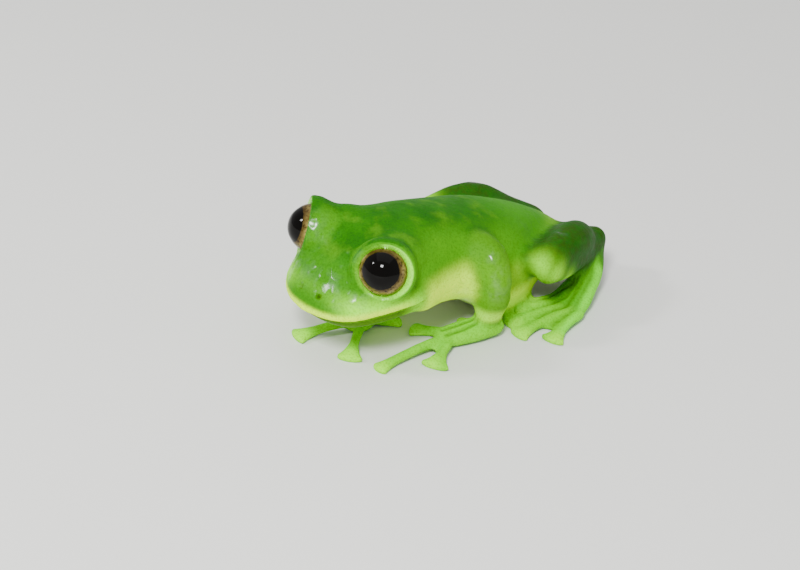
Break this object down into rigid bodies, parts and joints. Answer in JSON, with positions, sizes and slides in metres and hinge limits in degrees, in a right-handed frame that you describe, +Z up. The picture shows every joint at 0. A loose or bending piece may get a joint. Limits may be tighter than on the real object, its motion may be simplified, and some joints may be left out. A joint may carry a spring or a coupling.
{
  "type": "glass frog",
  "caption": "Small green glass frog at life size, crouched with head raised, bulging eyes, hands turned in under the chin, folded hind legs and disc-tipped digits.",
  "frame": {"origin": "on the floor, under the centre of the bounding box", "axes": "+Z up, the frog faces -Y and its left side is +X"},
  "size_m": [0.0166, 0.0248, 0.0092],
  "materials": {
    "back_skin": "moist skin, lime green",
    "lip_skin": "moist skin, pale cream green",
    "limb_skin": "moist translucent skin, olive green",
    "digit_skin": "moist skin, pale yellow green",
    "eye": "wet, dark pupil in a brown and cream iris"
  },
  "bodies": {
    "root": {"head": "back_skin", "lower_jaw": "lip_skin", "torso": "back_skin", "eye_left": "eye", "upper_arm_left": "back_skin", "forearm_left": "limb_skin", "hand_left": "digit_skin", "finger_left_1": "digit_skin", "finger_left_2": "digit_skin", "finger_left_3": "digit_skin", "finger_left_4": "digit_skin", "thigh_left": "limb_skin", "shank_left": "limb_skin", "foot_left": "digit_skin", "toe_left_1": "digit_skin", "toe_left_2": "digit_skin", "toe_left_3": "digit_skin", "toe_left_4": "digit_skin", "toe_left_5": "digit_skin", "eye_right": "eye", "upper_arm_right": "back_skin", "forearm_right": "limb_skin", "hand_right": "digit_skin", "finger_right_1": "digit_skin", "finger_right_2": "digit_skin", "finger_right_3": "digit_skin", "finger_right_4": "digit_skin", "thigh_right": "limb_skin", "shank_right": "limb_skin", "foot_right": "digit_skin", "toe_right_1": "digit_skin", "toe_right_2": "digit_skin", "toe_right_3": "digit_skin", "toe_right_4": "digit_skin", "toe_right_5": "digit_skin"}
  },
  "joints": []
}
